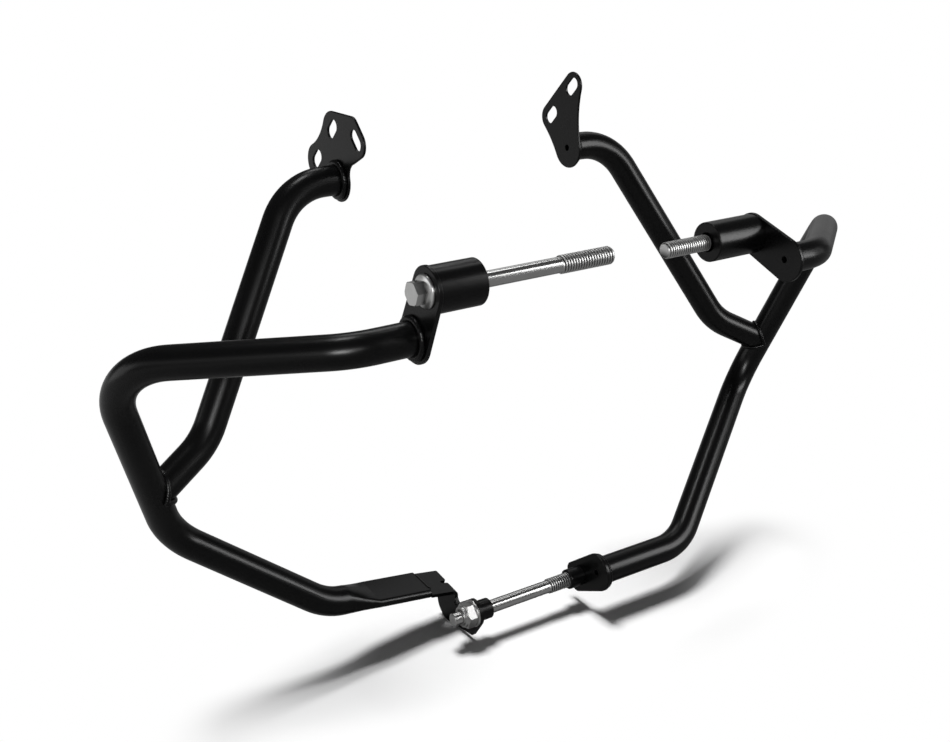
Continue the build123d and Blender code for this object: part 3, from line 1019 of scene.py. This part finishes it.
@dataclass(frozen=True)
class Softbox:
    """A rectangular lamp that faces the object."""

    name: str
    azimuth: float
    elevation: float
    distance: float
    size: tuple[float, float]
    radiance: float
    plated_radiance: float | None = None
    aim: tuple[float, float, float] = (0.0, 0.0, 0.15)

    def build(self) -> None:
        """Puts the lamp up, with a veil before it for the plated pieces where it has one."""
        lamp = self.lamp(self.name, self.radiance)
        if self.plated_radiance is not None:
            self.limit(lamp, "EXCLUDE")
            self.limit(self.lamp(self.name + "_veiled", self.plated_radiance), "INCLUDE")

    @staticmethod
    def limit(lamp: bpy.types.Object, state: str) -> None:
        """Keeps a lamp to the plated pieces, or off them.

        Args:
            lamp: the lamp.
            state: INCLUDE or EXCLUDE.
        """
        group = bpy.data.collections.new(lamp.name + "_reach")
        for piece in bpy.context.scene.objects:
            if piece.name.endswith(PLATED):
                group.objects.link(piece)
        lamp.light_linking.receiver_collection = group
        for entry in group.collection_objects:
            entry.light_linking.link_state = state

    def lamp(self, name: str, radiance: float) -> bpy.types.Object:
        """One lamp, its power worked out from its size and radiance.

        Args:
            name: the lamp's name.
            radiance: how bright its face is.

        Returns:
            The lamp.
        """
        turn, rise = math.radians(self.azimuth), math.radians(self.elevation)
        away = Vector((math.sin(turn) * math.cos(rise), -math.cos(turn) * math.cos(rise), math.sin(rise)))
        lamp = bpy.data.lights.new(name, "AREA")
        lamp.shape = "RECTANGLE"
        lamp.size, lamp.size_y = self.size
        lamp.energy = radiance * math.pi * self.size[0] * self.size[1]
        obj = bpy.data.objects.new(name, lamp)
        obj.location = Vector(self.aim) + away * self.distance
        obj.rotation_euler = (-away).to_track_quat("-Z", "Y").to_euler()
        obj.visible_diffuse = False
        obj.visible_camera = False
        bpy.context.scene.collection.objects.link(obj)
        return obj


@dataclass
class Studio:
    """A white floor, a high key light, softboxes for the sheen, and the camera."""

    floor_z: float = -25.6 * MM
    floor_size: float = 30.0
    paper: Colour = (0.97, 0.97, 0.97, 1.0)
    shadow_reach: tuple[float, float] = (0.30, 0.12)
    shadow_fade: tuple[float, float] = (0.45, 1.1)
    key_level: float = 3.20
    key_spread: float = 18.0
    key_lean: float = 0.28
    fill: float = 0.08
    room_glow: float = 0.067
    mirror_glow: tuple[float, float] = (0.21, 0.55)
    bright_corner: tuple[float, float, float] = (-0.7, 0.7, 0.0)
    corner_fade: tuple[float, float] = (0.05, 0.60)
    camera_at: tuple[float, float, float] = (-0.52583, -0.7120, 0.53305)
    camera_turn: tuple[float, float, float] = (68.6425, 0.0, -33.463)
    lens: float = 48.72
    sensor: float = 36.0
    clip: tuple[float, float] = (0.01, 100.0)
    boxes: tuple[Softbox, ...] = (
        Softbox("camera_box", -37.0, 20.0, 1.6, (0.54, 0.28), 33.0, 11.5),
        Softbox("camera_side_box", -17.0, 25.0, 1.7, (0.36, 0.36), 4.5),
        Softbox("front_right_strip", 45.0, 22.0, 1.8, (0.47, 1.05), 12.0, 6.5),
        Softbox("right_box", 70.0, 17.0, 1.8, (0.32, 0.85), 1.0),
        Softbox("rear_right_box", 135.0, 33.0, 1.9, (0.95, 0.60), 0.7),
        Softbox("rear_right_low_box", 118.0, 11.0, 1.9, (1.50, 0.70), 0.30),
        Softbox("rear_right_high_box", 120.0, 60.0, 1.8, (0.30, 0.30), 3.6),
        Softbox("rear_top_box", -165.0, 77.0, 1.8, (0.35, 0.35), 15.0, 7.0),
        Softbox("rear_box", 155.0, 49.0, 1.8, (0.55, 0.34), 4.0),
        Softbox("left_box", -85.0, 18.0, 1.8, (1.50, 0.50), 0.7),
        Softbox("left_low_box", -115.0, 9.0, 1.8, (1.05, 0.66), 1.5),
    )

    def floor(self) -> None:
        """A wide pale floor that keeps the shadow under the object and is plain white away from it; in mirrors it is
        dimmed to mirror_glow, lighter towards bright_corner, as painted shade on the floor that the metal sees.
        """
        deselect_all()
        bpy.ops.mesh.primitive_plane_add(size=self.floor_size, location=(0, 0, self.floor_z))
        plane = bpy.context.active_object
        plane.name = "studio_floor"
        material, bench = new_material("studio_floor")
        reach = self.shadow_reach
        spot = bench.stretched((1 / reach[0], 1 / reach[1], 0.0))
        far = bench.add("ShaderNodeVectorMath", {"operation": "LENGTH"}, {0: spot}, "Value")
        fade = self.ramp(bench, far, self.shadow_fade, (0.0, 1.0))
        corner = bench.add("ShaderNodeVectorMath", {"operation": "DOT_PRODUCT"},
                           {0: bench.place(), 1: self.bright_corner}, "Value")
        mirrored = self.ramp(bench, corner, self.corner_fade, self.mirror_glow)
        seen = self.seen(bench)
        # Painted shade for mirrors: to glossy and transmission rays, the paper and the white are dimmed to
        # mirror_glow, lighter towards bright_corner.
        level = self.seen(bench, False) * (mirrored - 1.0) + 1.0
        paper = bench.add("ShaderNodeBsdfDiffuse", None, {"Color": bench.blend(level, BLACK, self.paper)})
        white = bench.add("ShaderNodeEmission", None, {"Color": WHITE, "Strength": level})
        surface = bench.add("ShaderNodeMixShader", None, {0: fade * seen, 1: paper, 2: white})
        bench.add("ShaderNodeOutputMaterial", None, {"Surface": surface})
        plane.data.materials.append(material)

    @staticmethod
    def ramp(bench: NodeBench, value: Wire, over: tuple[float, float], levels: tuple[float, float]) -> Wire:
        """A smooth change from one level to another.

        Args:
            bench: the tree that it goes in.
            value: what it follows.
            over: where the change begins and ends.
            levels: the levels before and after.

        Returns:
            The level.
        """
        return bench.add("ShaderNodeMapRange", {"interpolation_type": "SMOOTHSTEP"},
                         {0: value, 1: over[0], 2: over[1], 3: levels[0], 4: levels[1]})

    @staticmethod
    def seen(bench: NodeBench, camera: bool = True) -> Wire:
        """A switch for what is looked at, as against light that falls on things.

        Args:
            bench: the tree that it goes in.
            camera: whether the camera's own rays count, besides those by way of a mirror or glass.

        Returns:
            One for such rays, zero for others.
        """
        path = [bench.add("ShaderNodeLightPath", None, None, name)
                for name in ("Is Glossy Ray", "Is Transmission Ray", "Is Camera Ray")]
        mirror = path[0].at_least(path[1])
        return mirror.at_least(path[2]) if camera else mirror

    def key(self) -> None:
        """The high key light, which leans a little towards the front."""
        sun = bpy.data.lights.new("key", "SUN")
        sun.energy = self.key_level
        sun.angle = math.radians(self.key_spread)
        obj = bpy.data.objects.new("key", sun)
        obj.rotation_euler = Vector((0.0, -self.key_lean, -1.0)).to_track_quat("-Z", "Y").to_euler()
        obj.visible_glossy = False
        bpy.context.scene.collection.objects.link(obj)

    def room(self) -> None:
        """The room: white behind the floor, dim where it shows in the metal, with an even fill for what it lights."""
        world = bpy.data.worlds.new("studio")
        world.use_nodes = True
        bpy.context.scene.world = world
        bench = NodeBench(world.node_tree)
        strength = self.seen(bench) * (1.0 - self.fill) + self.seen(bench, False) * (self.room_glow - 1.0) + self.fill
        sky = bench.add("ShaderNodeBackground", None, {"Color": WHITE, "Strength": strength})
        bench.add("ShaderNodeOutputWorld", None, {"Surface": sky})

    def camera(self) -> None:
        """The camera at the photograph's viewing angle."""
        data = bpy.data.cameras.new("camera")
        data.lens, data.sensor_width = self.lens, self.sensor
        data.clip_start, data.clip_end = self.clip
        obj = bpy.data.objects.new("camera", data)
        obj.location = self.camera_at
        obj.rotation_euler = [math.radians(a) for a in self.camera_turn]
        bpy.context.scene.collection.objects.link(obj)
        bpy.context.scene.camera = obj

    def build(self) -> None:
        """Sets the stage."""
        bpy.context.scene.view_settings.view_transform = "Standard"
        self.floor()
        self.key()
        for box in self.boxes:
            box.build()
        self.room()
        self.camera()


def main() -> None:
    """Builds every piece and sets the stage."""
    logging.basicConfig(level=logging.INFO, format="%(message)s")
    coat, zinc = PowderCoat().material(), ZincPlate().material()
    for assembly in (CoatedMetal(coat), RingWelds(coat), SaddleWelds(coat), Fasteners(zinc), Studio()):
        assembly.build()
    deselect_all()


if __name__ == "__main__":
    main()
